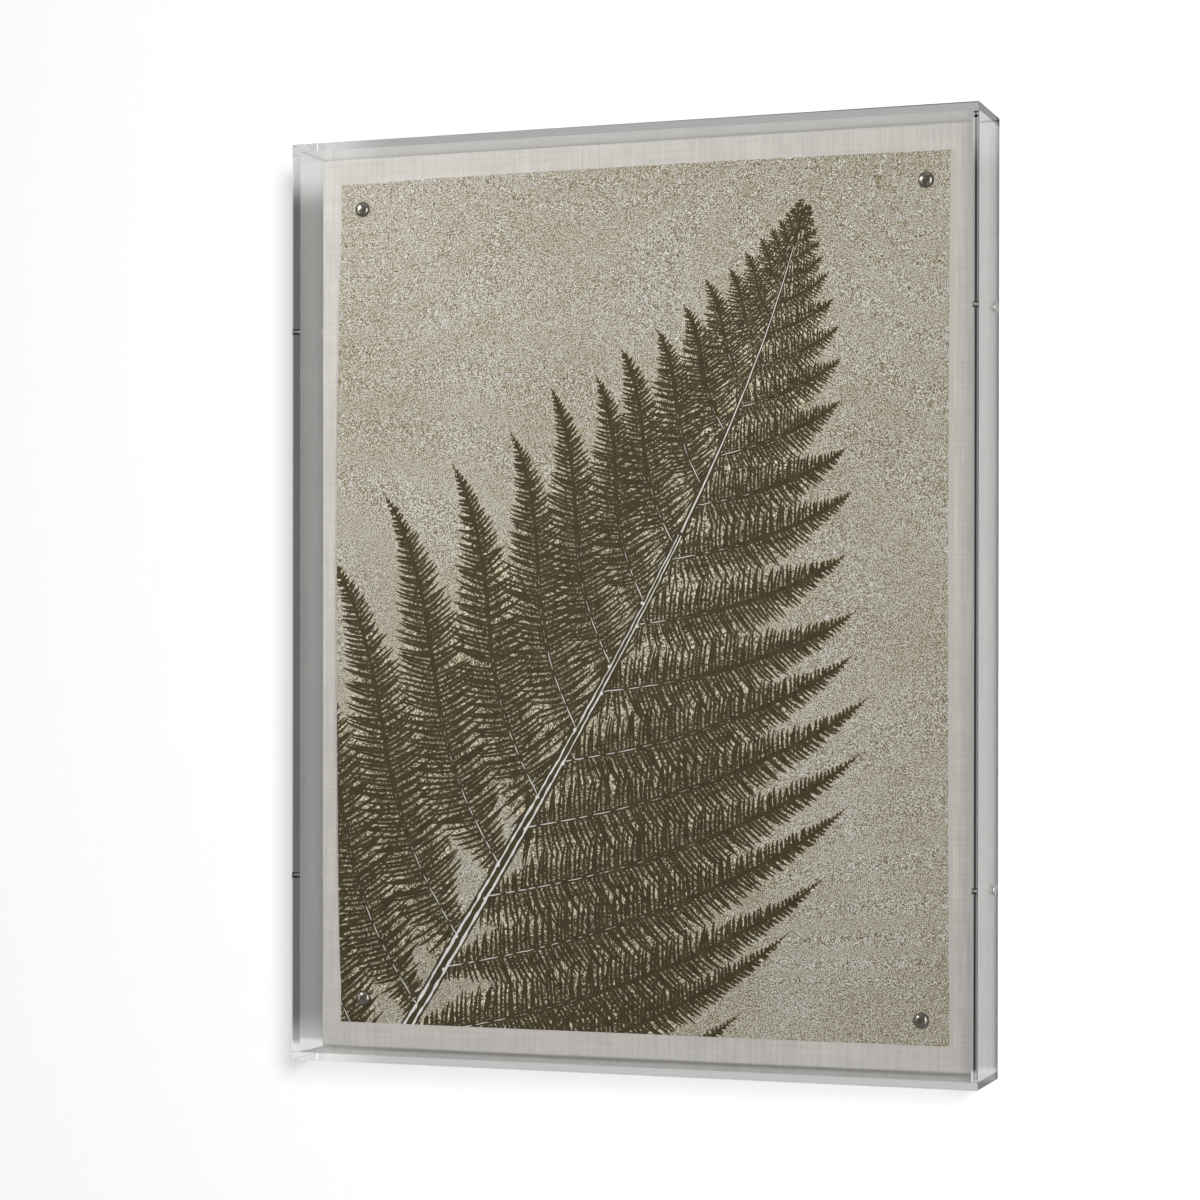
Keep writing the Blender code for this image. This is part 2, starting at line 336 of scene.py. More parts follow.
def print_material(look):
    """Ink and ground in fine grains; each part of the fern says how much ink it takes."""
    paper = Finish("fern_print")
    grain = 1.0 / look.grain_size
    ink_share = paper.node("Attribute", attribute_name="ink_share").outputs["Fac"]
    line_share = paper.node("Attribute", attribute_name="line_share").outputs["Fac"]

    clouds = paper.speckle(9.0, detail=3.0, rough=0.6)
    fine_clouds = paper.speckle(55.0, offset=(3.0, 1.0, 2.0))
    olive_grains = paper.speckle(grain, detail=1.0, rough=0.6, offset=(5.0, 2.0, 7.0))
    lean = paper.add(paper.remap(clouds, 0.35, 0.65, -0.018, 0.026),
                     paper.remap(fine_clouds, 0.3, 0.7, -0.010, 0.010))
    olive = paper.remap(paper.add(olive_grains, lean), 0.455, 0.525)
    ground = paper.mix(olive, look.pale_grain, look.olive_grain)
    specks = paper.speckle(grain * 0.9, detail=0.0, offset=(1.0, 9.0, 4.0))
    ground = paper.mix(paper.remap(specks, 0.60, 0.66), ground, WHITE_SPECK)
    ground = paper.mix(paper.remap(specks, 0.39, 0.31), ground, DARK_SPECK)
    ground = paper.mix(paper.remap(ink_share, 0.25, 0.50, 0.0, 0.70), ground, PALE_GAP)

    ink_grains = paper.speckle(grain * 0.85, detail=1.5, rough=0.65, offset=(2.0, 4.0, 8.0))
    breaks = paper.speckle(480.0, detail=1.0, offset=(9.0, 3.0, 3.0))
    breaks = paper.remap(breaks, 0.35, 0.65, -0.075, 0.075)
    among_ink = paper.times(paper.remap(ink_share, 0.2, 0.4), paper.remap(ink_share, 0.9, 0.7))
    ink_level = paper.add(paper.remap(ink_share, 0.0, 1.0, 0.24, 0.80), paper.times(breaks, among_ink))
    inked = paper.remap(paper.calculate("SUBTRACT", ink_level, ink_grains), -0.022, 0.022)
    tone = paper.speckle(160.0, detail=3.0, offset=(7.0, 1.0, 1.0))
    ink = paper.mix(paper.remap(tone, 0.35, 0.75), look.ink, THIN_INK)
    colour = paper.mix(inked, ground, ink)

    line_grains = paper.speckle(grain * 0.55, offset=(6.0, 6.0, 1.0))
    line = paper.remap(paper.calculate("SUBTRACT", line_share, line_grains), -0.05, 0.08)
    colour = paper.mix(line, colour, PALE_LINE)

    across = paper.node("SeparateXYZ", {"Vector": paper.place}).outputs["X"]
    edge = SHEET_WIDTH / 2 + SHEET_SHIFT - BARE_MARGIN
    bare = paper.remap(across, edge - 0.0001, edge + 0.0001)
    faint = paper.remap(ink_grains, 0.50, 0.66, 0.0, 0.35)
    strip = paper.mix(faint, (0.50, 0.475, 0.44), (0.38, 0.35, 0.29))
    tooth = paper.speckle(1400.0, detail=3.0)
    return paper.finished({
        "Base Color": paper.mix(bare, colour, strip),
        "Roughness": paper.remap(inked, 0.0, 1.0, 0.82, 0.62),
        "Specular IOR Level": 0.18, "Normal": paper.bump(tooth, 0.00006, 0.6)})


def bare_paper_material():
    """The sheet's cut edges and its unprinted back."""
    paper = Finish("bare_paper")
    fibres = paper.speckle(700.0, detail=4.0, stretch=(1.0, 1.0, 0.3))
    colour = paper.mix(fibres, (0.78, 0.75, 0.69), (0.68, 0.64, 0.57))
    return paper.finished({
        "Base Color": colour, "Roughness": 0.9, "Normal": paper.bump(fibres, 0.00005, 0.5)})


def linen_material(look):
    """A plain weave: threads across every face, uneven in thickness and colour, with painted shade where
    the weave dips and painted light on its raised threads.
    """
    linen = Finish("linen_weave")
    wander = linen.node("TexNoise", {"Vector": linen.place, "Scale": 60.0, "Detail": 2.0})
    drift = linen.node("VectorMath", {0: wander.outputs["Color"], 1: (0.5, 0.5, 0.5)},
                       operation="SUBTRACT")
    small = linen.node("VectorMath", {0: drift.outputs["Vector"], "Scale": 0.0007}, operation="SCALE")
    moved = linen.node("VectorMath", {0: linen.place, 1: small.outputs["Vector"]}, operation="ADD")
    parts = linen.node("SeparateXYZ", {"Vector": moved.outputs["Vector"]})
    weave = 0.0
    for axis, share in (("X", 0.45), ("Y", 0.20), ("Z", 0.35)):
        wave = linen.calculate("SINE", linen.times(parts.outputs[axis], 2 * math.pi / look.thread))
        weave = linen.add(linen.times(linen.remap(wave, -1.0, 1.0), share), weave)
    upright = linen.speckle(560.0, stretch=(1.0, 1.0, 0.03))
    level = linen.speckle(560.0, stretch=(0.03, 1.0, 1.0), offset=(2.0, 0.0, 1.0))
    slubs = linen.add(linen.times(upright, 0.6), linen.times(level, 0.4))
    height = linen.add(linen.times(weave, 0.6), linen.times(slubs, 0.8))
    patches = linen.speckle(7.0, detail=3.0, offset=(4.0, 4.0, 4.0))
    # Painted shade and light from the weave's height: a darker copy of the linen where the threads dip and
    # a paler one on the raised threads and slubs.
    shade = linen.remap(height, 0.50, 0.98)
    colour = linen.mix(shade, shaded(look.colour, 0.74), shaded(look.colour, 1.12))
    colour = linen.mix(linen.remap(patches, 0.3, 0.7, 0.0, 0.12), colour, (0.58, 0.55, 0.49))
    return linen.finished({
        "Base Color": colour, "Roughness": 0.92, "Sheen Weight": 0.15, "Sheen Roughness": 0.6,
        "Normal": linen.bump(height, 0.00018, 0.6)})


def nail_material(look):
    """Dark polished nickel, very slightly uneven."""
    nickel = Finish("old_nickel")
    patina = nickel.remap(nickel.speckle(220.0), 0.40, 0.75)
    colour = nickel.mix(patina, look.nail_colour, shaded(look.nail_colour, 0.75))
    return nickel.finished({"Base Color": colour, "Metallic": 1.0, "Roughness": 0.27})


def screw_material(look):
    """Bright plated steel with fine turning marks."""
    steel = Finish("plated_steel")
    marks = steel.speckle(1800.0, stretch=(0.2, 1.0, 1.0))
    return steel.finished({
        "Base Color": steel.mix(marks, look.screw_colour, shaded(look.screw_colour, 0.75)),
        "Metallic": 0.7, "Roughness": steel.remap(marks, 0.3, 0.7, 0.22, 0.36),
        "Normal": steel.bump(marks, 0.00003, 0.4)})


def pine_material(name, look, stretch, offset):
    """Planed pine, its grain drawn out along one axis."""
    pine = Finish(name)
    bent = pine.speckle(34.0, detail=3.0, stretch=stretch, offset=offset)
    rings = pine.remap(pine.calculate("SINE", pine.times(bent, 70.0)), -0.6, 1.0, smooth=True)
    pores = pine.speckle(1500.0, detail=3.0, stretch=stretch, offset=offset)
    colour = pine.mix(pine.times(rings, 0.75), look.pine, shaded(look.pine, 0.66))
    colour = pine.mix(pine.remap(pores, 0.55, 0.75, 0.0, 0.4), colour, (0.34, 0.21, 0.11))
    return pine.finished({
        "Base Color": colour, "Roughness": pine.remap(pores, 0.3, 0.7, 0.52, 0.72),
        "Normal": pine.bump(pores, 0.0001, 0.4)})


def board_material(look):
    """Hardboard: pressed brown fibres."""
    board = Finish("pressed_board")
    fibres = board.speckle(420.0, detail=6.0, rough=0.7)
    flecks = board.speckle(1300.0, stretch=(1.0, 1.0, 0.25), offset=(3.0, 3.0, 3.0))
    colour = board.mix(board.remap(fibres, 0.35, 0.7), look.board, shaded(look.board, 1.7))
    colour = board.mix(board.remap(flecks, 0.62, 0.75, 0.0, 0.6), colour, (0.10, 0.06, 0.03))
    return board.finished({
        "Base Color": colour, "Roughness": board.remap(fibres, 0.3, 0.7, 0.60, 0.85),
        "Normal": board.bump(fibres, 0.0002, 0.4)})


def wall_material(name, grey, glow=0.0):
    """Painted plaster."""
    wall = Finish(name)
    paint = (grey, grey, grey)
    wall.finished({
        "Base Color": wall.mix(wall.speckle(30.0, detail=3.0), paint, shaded(paint, 1.01)),
        "Roughness": 0.95, "Specular IOR Level": 0.1, "Emission Color": WHITE, "Emission Strength": glow})
    return wall.clear_from_behind(wall.shader.outputs["BSDF"])


def room_glow_with_painted_glints(brightness):
    """The room's wall as the clear case shows it, a sheet that glows with painted light: lighter above, at
    the left corners and below the rim as painted highlights, with painted shade lines by the rims.
    """
    wall = Finish("room_glow_painted_glints")
    wall.tree.nodes.remove(wall.shader)
    parts = wall.node("SeparateXYZ", {"Vector": wall.place})
    across = parts.outputs["X"]
    up = wall.calculate("SUBTRACT", parts.outputs["Z"], MIDDLE_Z)
    leftward = wall.remap(across, -0.19, -0.25, smooth=True)
    rightward = wall.remap(across, -0.12, 0.15)
    above = wall.remap(up, 0.290, 0.322, smooth=True)
    below = wall.remap(up, -0.300, -0.328, smooth=True)
    painted_top_shade_line = wall.between(up, RIM_Z + 0.0005, RIM_Z + 0.0016, 0.0001)
    from_low_rim = wall.calculate("ABSOLUTE", wall.add(up, RIM_Z))
    # Painted light: each band below brightens the glow as a painted highlight, or darkens it as a painted
    # shade line where its share is negative.
    level = 1.0
    for share, part in (
            (-0.40, wall.between(across, -RIM_X - 0.0016, -RIM_X + 0.0040, 0.0005)),
            (1.6, wall.between(across, -RIM_X - 0.0026, -RIM_X - 0.0017, 0.0001)),
            (1.75, wall.remap(across, 0.2528, 0.2545)),
            (0.7, wall.between(across, RIM_X - 0.0025, RIM_X - 0.0002, 0.0002)),
            (-0.85, wall.between(across, RIM_X, RIM_X + 0.0015, 0.0001)),
            (0.9, above),
            (-1.7, wall.times(painted_top_shade_line, rightward)),
            (1.3, wall.times(above, leftward)),
            (1.45, wall.remap(from_low_rim, 0.0062, 0.0030)),
            (1.3, wall.times(below, leftward))):
        level = wall.add(wall.times(part, share), level)
    # The sheet glows though it is no lamp: its whole brightness is painted light.
    glow = wall.node("Emission", {"Strength": wall.times(level, brightness)})
    return wall.clear_from_behind(glow.outputs["Emission"])


def shade_material(name, share):
    """Nothing to the eye; keeps a share of the lamps' light back."""
    shade = Finish(name)
    shade.tree.nodes.remove(shade.shader)
    through = shade.node("BsdfTransparent", {"Color": (1 - share, 1 - share, 1 - share)})
    shade.output("Surface", through.outputs[0])
    return shade.material


def finish_mesh(bm, name, sharp_degrees=35.0, recalculate=True):
    if recalculate:
        bmesh.ops.recalc_face_normals(bm, faces=bm.faces)
    mesh = bpy.data.meshes.new(name)
    bm.to_mesh(mesh)
    bm.free()
    return shade_round(mesh, sharp_degrees)


def shade_round(mesh, sharp_degrees):
    mesh.shade_smooth()
    mesh.set_sharp_from_angle(angle=math.radians(sharp_degrees))
    return mesh


def flatten_large(mesh):
    """Large flat faces keep one normal, so that only the rounded edges between them shade round."""
    for face in mesh.polygons:
        if face.area > LARGE_FACE:
            face.use_smooth = False
    return mesh


def face_front(bm):
    """Turns the faces of a sheet round if they look back at the wall."""
    if sum(face.normal.y * face.calc_area() for face in bm.faces) > 0:
        bmesh.ops.reverse_faces(bm, faces=bm.faces)


def verts_in(parts):
    return [part for part in parts if isinstance(part, bmesh.types.BMVert)]


def add_object(name, data):
    made = bpy.data.objects.new(name, data)
    bpy.context.scene.collection.objects.link(made)
    return made


def add_piece(name, mesh, materials, nodes):
    """Puts a finished mesh in the scene, riding on the one body."""
    piece = add_object(name, mesh)
    for material in materials:
        mesh.materials.append(material)
    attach(piece, "root")
    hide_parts(*nodes)
    return piece


def box_on_wall(bm, width, height, front, rim):
    """A block that stands off the wall, with its back face inset; returns that face."""
    made = bmesh.ops.create_cube(bm, size=1.0)["verts"]
    bmesh.ops.scale(bm, vec=(width, -front, height), verts=made)
    bmesh.ops.translate(bm, vec=(0, front / 2, MIDDLE_Z), verts=made)
    bm.normal_update()
    rear = [face for face in bm.faces if face.normal.y > 0.9]
    bmesh.ops.inset_region(bm, faces=rear, thickness=rim, depth=0.0, use_even_offset=True)
    return rear


def bevel_edges(bm, edges, width, segments):
    bmesh.ops.bevel(bm, geom=edges, offset=width, offset_type="OFFSET", segments=segments,
                    profile=0.5, affect="EDGES", material=-1)


def turned(bm, profile, steps):
    """Spins (radius, height) points about Z; they start and end on the axis."""
    points = [bm.verts.new((radius, 0.0, height)) for radius, height in profile]
    edges = [bm.edges.new(pair) for pair in zip(points, points[1:])]
    bmesh.ops.spin(bm, geom=points + edges, cent=(0, 0, 0), axis=(0, 0, 1),
                   angle=2 * math.pi, steps=steps, use_merge=True)
    bmesh.ops.remove_doubles(bm, verts=bm.verts, dist=MERGE)


def turn_and_place(bm, axis, degrees, place):
    bmesh.ops.rotate(bm, verts=bm.verts, cent=(0, 0, 0),
                     matrix=Matrix.Rotation(math.radians(degrees), 3, axis))
    bmesh.ops.translate(bm, verts=bm.verts, vec=place)


def screw_places():
    for side_name, sideways in (("left", -1), ("right", 1)):
        for end_name, upwards in (("upper", 1), ("lower", -1)):
            yield side_name + "_" + end_name, sideways, MIDDLE_Z + upwards * SCREW_HEIGHT


def nail_places():
    for name, (side_inset, end_inset) in NAIL_INSETS.items():
        sideways = -1 if "left" in name else 1
        upwards = -1 if "bottom" in name else 1
        x = SHEET_SHIFT + sideways * (SHEET_WIDTH / 2 - side_inset)
        z = upwards * (SHEET_HEIGHT / 2 - end_inset)
        yield name, x, z


def cut_out(mesh, cutters):
    """Cuts some meshes from another and returns what is left."""
    whole = add_object("whole", mesh)
    tools = [add_object("cutter", cutter) for cutter in cutters]
    for tool in tools:
        step = whole.modifiers.new("cut", "BOOLEAN")
        step.operation = "DIFFERENCE"
        step.solver = "EXACT"
        step.object = tool
    bpy.context.view_layer.update()
    graph = bpy.context.evaluated_depsgraph_get()
    left = bpy.data.meshes.new_from_object(whole.evaluated_get(graph))
    left.name = mesh.name
    for thing in [whole, *tools]:
        bpy.data.objects.remove(thing, do_unlink=True)
    return left


def case_mesh(look):
    """One clear box, open at the back, its five sheets cemented into one."""
    bm = bmesh.new()
    rear = box_on_wall(bm, CASE_WIDTH, CASE_HEIGHT, FRONT, ACRYLIC)
    grown = bmesh.ops.extrude_face_region(bm, geom=rear)["geom"]
    bmesh.ops.delete(bm, geom=rear, context="FACES_ONLY")
    bmesh.ops.translate(bm, verts=verts_in(grown), vec=(0, ACRYLIC - CASE_DEPTH, 0))
    bmesh.ops.remove_doubles(bm, verts=bm.verts, dist=MERGE)
    outer = [edge for edge in bm.edges
             if all(abs(vert.co.x) > RIM_X or abs(vert.co.z - MIDDLE_Z) > RIM_Z
                    for vert in edge.verts) and edge.calc_face_angle(0.0) > SQUARE_TURN]
    bevel_edges(bm, outer, look.edge_round, 2)
    cutters = []
    for _, sideways, z in screw_places():
        drill = bmesh.new()
        radius = SCREW_SHANK_RADIUS + GAP
        turned(drill, [(0, -0.008), (radius, -0.008), (radius, 0.004), (0, 0.004)], 32)
        turn_and_place(drill, "Y", 90 * sideways, (sideways * CASE_WIDTH / 2, SCREW_Y, z))
        cutters.append(finish_mesh(drill, "drill"))
    return flatten_large(shade_round(cut_out(finish_mesh(bm, "acrylic_case"), cutters), 40.0))


def rise(place, length):
    """How far the sheet has risen between its ends: 0 under the nails, 1 half way."""
    held = SHEET_HELD_MARGIN / length
    free = min(max((place - held) / (1 - 2 * held), 0.0), 1.0)
    return math.sin(math.pi * free) ** LIFT_FULLNESS if 0 < free < 1 else 0.0


def sheet_lift(across, up):
    """How far the sheet stands off the linen; across and up run from 0 to 1."""
    upright = rise(up, SHEET_HEIGHT)
    level = rise(across, SHEET_WIDTH)
    side = LEFT_LIFT * (1 - across) + RIGHT_LIFT * across
    top = TOP_LEFT_LIFT * (1 - across) + TOP_RIGHT_LIFT * across
    return side * upright + top * level * up ** 4 * (1 - upright)


# The fern is drawn flat, in metres from the middle of the sheet, before it is laid on it.
STALK_CURVE = (Vector((-0.256, -0.433)), Vector((-0.118, -0.214)), Vector((0.078, 0.070)),
               Vector((0.123, 0.275)))
STALK_STEPS, BRANCH_STEPS = 180, 30
ONE_LINE_FROM, TWO_LINES_FROM = 0.030, 0.245     # distances from the fern's tip
KINDS = {                        # shares of ink and of line in each kind of area, the strongest last
    "ground": (0.10, 0.0),
    "halo": (0.30, 0.0),
    "gap_outer": (0.50, 0.0),
    "gap_inner": (0.62, 0.0),
    "ink": (1.0, 0.0),
    "faint_line": (1.0, 0.50),
    "line": (1.0, 1.0),
}
BRANCH_AREAS = {                 # share of the leaflets' reach, more reach, and less towards the tip
    "halo": (1.08, 0.0012, 0.0),
    "gap_outer": (0.84, 0.0, 0.30),
    "gap_inner": (0.45, 0.0, 0.30),
}
ORDER = list(KINDS)
LONG_LEAFLET_FROM = 0.007        # leaflets are (share of length, share of width) pairs
LONG_LEAFLET = ((0.0, 0.80), (0.35, 1.0), (0.70, 0.80), (0.90, 0.45))
SHORT_LEAFLET = ((0.0, 0.85), (0.45, 1.0), (0.85, 0.55))


def smooth_step(low, high, value):
    t = min(max((value - low) / (high - low), 0.0), 1.0)
    return t * t * (3 - 2 * t)


def wobble(place, seed):
    """Smooth irregularity from about -1 to 1 along a length."""
    return noise.noise(Vector((place, seed * 3.17, 0.5)))


def unit(degrees):
    return Vector((math.cos(math.radians(degrees)), math.sin(math.radians(degrees))))


def stalk_points():
    """The stalk from its base to its tip, with each point's distance from the tip."""
    a, b, c, d = STALK_CURVE
    points = []
    for step in range(STALK_STEPS + 1):
        t = step / STALK_STEPS
        s = 1 - t
        points.append(a * s ** 3 + b * 3 * s * s * t + c * 3 * s * t * t + d * t ** 3)
    left = [0.0]
    for first, second in zip(points[::-1], points[-2::-1]):
        left.append(left[-1] + (second - first).length)
    return points, left[::-1]


def on_axis(points, headings, u):
    """The place and heading at a share of a branch's length."""
    spot = min(max(u, 0.0), 1.0) * (len(points) - 1)
    index = min(int(spot), len(points) - 2)
    share = spot - index
    angle = headings[index] * (1 - share) + headings[index + 1] * share
    return points[index].lerp(points[index + 1], share), angle


def leaflet_reach(u, bare):
    """How long the leaflets are along a branch, as a share of the longest."""
    start = 1 - (0.12 + bare) * (1 - smooth_step(0.02, 0.20, u))
    return start * min(1.0, 1.80 * (1 - u) ** 0.95)


def leaflet_turn(u, upper, lean):
    """How far a leaflet turns from its branch, in degrees; below, the first ones fan back."""
    turn = 86 - 22 * u - lean
    if not upper:
        turn += 34 * (1 - smooth_step(0.0, 0.11, u))
    return turn


class FernDrawing:
    """Areas of the fern, as (kind, outline) pairs in the order that they are drawn."""

    def __init__(self, seed):
        self.chance = random.Random(seed)
        self.areas = []
        self.points, self.to_tip = stalk_points()
        for left_hand in (False, True):
            self.draw_side(left_hand)
        self.draw_stalk()

    def jitter(self, most):
        return most * self.chance.uniform(-1, 1)

    def along_stalk(self, distance):
        """The place and heading of the stalk at a distance from its tip."""
        points, left = self.points, self.to_tip
        for index in range(len(points) - 1):
            if left[index + 1] <= distance:
                share = (left[index] - distance) / (left[index] - left[index + 1])
                heading = points[index + 1] - points[index]
                angle = math.degrees(math.atan2(heading.y, heading.x))
                return points[index].lerp(points[index + 1], share), angle
        raise ValueError("off the stalk")

    def ribbon(self, points, widths, kind):
        """A strip along some points, with a half width at each."""
        left_side, right_side = [], []
        before = points[:1] + points
        after = points[1:] + points[-1:]
        for last, point, following, width in zip(before, points, after, widths):
            way = (following - last).normalized()
            side = Vector((-way.y, way.x)) * width
            left_side.append(point + side)
            right_side.append(point - side)
        self.areas.append((kind, right_side + left_side[::-1]))

    def leaflet(self, start, angle, bend, length, width):
        """One narrow leaflet, curved, widest near its middle and pointed."""
        here, before = start, 0.0
        left_side, right_side = [], []
        for station, share in LONG_LEAFLET if length > LONG_LEAFLET_FROM else SHORT_LEAFLET:
            here = here + unit(angle + bend * (station + before) / 2) * ((station - before) * length)
            before = station
            side = unit(angle + bend * station + 90) * width * share
            left_side.append(here + side * (1 + self.jitter(0.22)))
            right_side.append(here - side * (1 + self.jitter(0.22)))
        tip = here + unit(angle + bend) * length * (1 - before)
        self.areas.append(("ink", right_side + [tip] + left_side[::-1]))

    def branch_axis(self, start, heading, distance, length, left_hand):
        """The middle line of one side branch, as points and headings from stalk to tip."""
        points, headings = [start], []
        sway = self.chance.uniform(-1.3, 1.3)
        low = smooth_step(0.30, 0.62, distance)
        for step in range(BRANCH_STEPS):
            u = (step + 0.5) / BRANCH_STEPS
            if left_hand:
                angle = heading + 55 + 11 * low + sway - 24 * smooth_step(0.0, 0.55, u) + 30 * u ** 5
            else:
                angle = heading - 54 + 8 * low + sway + 11 * smooth_step(0.0, 0.7, u) + 20 * u ** 5
            headings.append(angle)
            points.append(points[-1] + unit(angle) * (length / BRANCH_STEPS))
        return points, headings + headings[-1:]

    def draw_branch(self, points, headings, distance, length, spacing, left_hand):
        """One side branch: its areas of shade, its leaflets, its dark middle and its pale line."""
        longest = min(spacing * 0.47 + 0.0022, 0.031)
        if left_hand:
            longest *= 1 + 0.16 * smooth_step(0.30, 0.50, distance)
        pitch = min(max(0.0029 * (length / 0.16) ** 0.26, 0.0024), 0.0034)
        lean = 20 * smooth_step(0.10, 0.02, distance)
        stations = max(8, int(length / 0.006))
        middle = [on_axis(points, headings, step / stations)[0] for step in range(stations + 1)]
        for side in (-1, 1):
            upper = (side < 0) == left_hand
            bare = 0.50 if distance > 0.50 and self.chance.random() < 0.6 else 0.0
            for kind, (share, extra, less) in BRANCH_AREAS.items():
                edge = []
                for step in range(stations + 1):
                    u = step / stations
                    point, angle = on_axis(points, headings, u)
                    reach = longest * leaflet_reach(u, bare)
                    way = angle + side * (leaflet_turn(u, upper, lean) - 4)
                    far = reach * share * (1 - less * smooth_step(0.55, 0.95, u)) + extra
                    edge.append(point + unit(way - side * 9 * share) * far)
                self.areas.append((kind, middle + edge[::-1]))
            count = int(length / pitch)
            phase = self.chance.random() * 0.8
            for index in range(count):
                u = (index + phase + self.jitter(0.22)) / count
                if not 0.004 < u < 0.985:
                    continue
                point, angle = on_axis(points, headings, u)
                reach = max(longest * leaflet_reach(u, bare) * (1 + self.jitter(0.15)), 0.0012)
                way = angle + side * (leaflet_turn(u, upper, lean) + self.jitter(4.0))
                width = min(pitch * (0.25 + 0.095 * smooth_step(0.06, 0.22, distance)), reach * 0.30)
                self.leaflet(point, way, -side * (15 + self.jitter(9)), reach, width)
        band = []
        for step in range(len(points)):
            u = step / (len(points) - 1)
            width = 0.0008 + 0.0012 * smooth_step(0.05, 0.35, u) * (1 - u) ** 0.8
            width *= min(1.0, 0.15 + length / 0.12)
            band.append(width * (1 - smooth_step(0.90, 1.0, u)) + 0.0002)
        self.ribbon(points, band, "ink")
        if length > 0.055:
            self.draw_midrib(points, headings, length, distance)

    def draw_midrib(self, points, headings, length, distance):
        """The pale broken line down a branch, bright near the stalk and lost half way."""
        here = 0.0035
        reach = length * self.chance.uniform(0.34, 0.60)
        strong = min(1.0, 0.35 + distance * 1.3)
        while here < reach:
            fade = 1 - here / reach
            dash = self.chance.uniform(0.003, 0.014) * (0.4 + fade)
            stop = min(here + dash, reach)
            count = max(3, int((stop - here) / 0.0025))
            spots, widths = [], []
            for step in range(count + 1):
                share = step / count
                place = here + (stop - here) * share
                point, angle = on_axis(points, headings, place / length)
                spots.append(point + unit(angle + 90) * 0.00035 * wobble(place * 260, distance * 50))
                swell = math.sin(math.pi * min(max(share, 0.06), 0.94)) ** 0.5
                widths.append((0.00014 + 0.00030 * fade * strong) * swell)
            self.ribbon(spots, widths, "line" if fade * strong > 0.50 else "faint_line")
            here = stop + self.chance.uniform(0.0014, 0.006) * (1.7 - fade)

    def draw_knot(self, place, size):
        """A pale swelling where a branch leaves the stalk."""
        ring = [place + unit(index * 40) * size * (1 + self.jitter(0.3)) for index in range(9)]
        self.areas.append(("line", ring))

    def draw_side(self, left_hand):
        """The branches on one side, from the tip down."""
        distance = 0.0040 if left_hand else 0.0070
        while distance <= self.to_tip[0] - 0.004:
            spacing = 0.0036 + 0.0610 * (1 - math.exp(-distance / 0.20))
            point, heading = self.along_stalk(distance)
            length = 0.004 + 0.52 * distance
            if left_hand:
                length = 1.08 * min(length - 1.6 * max(0.0, distance - 0.45) ** 2, 0.285)
            else:
                length = min(length, 0.315) * (1 + 0.10 * smooth_step(0.32, 0.56, distance))
            length *= 1 + self.jitter(0.045)
            points, headings = self.branch_axis(point, heading, distance, length, left_hand)
            self.draw_branch(points, headings, distance, length, spacing, left_hand)
            if distance > 0.30:
                away = unit(heading + (90 if left_hand else -90)) * 0.0022
                self.draw_knot(point + away, 0.0009 + 0.0010 * distance)
            distance += spacing * (1 + self.jitter(0.07))

    def draw_stalk(self):
        """Two wavering pale lines with ink between and beside them, one line higher up."""
        band = ([], [])
        lines = {"left": ([], []), "right": ([], []), "middle": ([], [])}
        distance = self.to_tip[0] - 0.001
        while distance > 0.004:
            point, heading = self.along_stalk(distance)
            side = unit(heading + 90)
            band[0].append(point)
            band[1].append(0.0011 + 0.0042 * smooth_step(0.05, 0.55, distance))
            apart = 0.0010 + 0.0018 * smooth_step(0.22, 0.60, distance)
            thick = 0.00034 + 0.00054 * smooth_step(0.25, 0.65, distance)
            if distance > TWO_LINES_FROM:
                for name, sign, seed in (("left", 1, 1.0), ("right", -1, 2.0)):
                    sway = 0.00055 * wobble(distance * 120, seed) + 0.00028 * wobble(distance * 430, seed)
                    lines[name][0].append(point + side * (sign * apart + sway))
                    lines[name][1].append(thick * (1 + 0.75 * wobble(distance * 210, seed + 5)))
            elif distance > ONE_LINE_FROM:
                sway = 0.00020 * wobble(distance * 120, 3.0)
                swell = 1 + 0.35 * wobble(distance * 210, 8.0)
                lines["middle"][0].append(point + side * sway)
                lines["middle"][1].append((0.00018 + 0.0016 * distance) * swell)
            distance -= 0.0022
        self.ribbon(*band, "ink")
        for spots, widths in lines.values():
            self.ribbon(spots, widths, "line")


def grid_lines(length):
    """Places across the sheet, close together where it starts to rise, from one end to the other."""
    near = [0.0, 0.009, 0.020, SHEET_HELD_MARGIN, 0.033, 0.037, 0.043, 0.052, 0.064]
    count = math.ceil((length / 2 - near[-1]) / 0.013)
    step = (length / 2 - near[-1]) / count
    half = near + [near[-1] + step * index for index in range(1, count + 1)]
    return [line - length / 2 for line in half] + [length / 2 - line for line in half[-2::-1]]


def sheet_outline(columns, rows):
    """The sheet's outline, with a point at every grid line."""
    outline = [Vector((x, rows[0])) for x in columns[:-1]]
    outline += [Vector((columns[-1], z)) for z in rows[:-1]]
    outline += [Vector((x, rows[-1])) for x in columns[:0:-1]]
    outline += [Vector((columns[0], z)) for z in rows[:0:-1]]
    return outline


def nail_holes():
    holes = []
    radius = NAIL_SHANK_RADIUS + GAP
    for _, x, z in nail_places():
        middle = Vector((x - SHEET_SHIFT, z))
        holes.append([middle + unit(index * 30) * radius for index in range(12)])
    return holes


def touches_sheet(ring):
    return any(abs(point.x) < SHEET_WIDTH / 2 and abs(point.y) < SHEET_HEIGHT / 2 for point in ring)


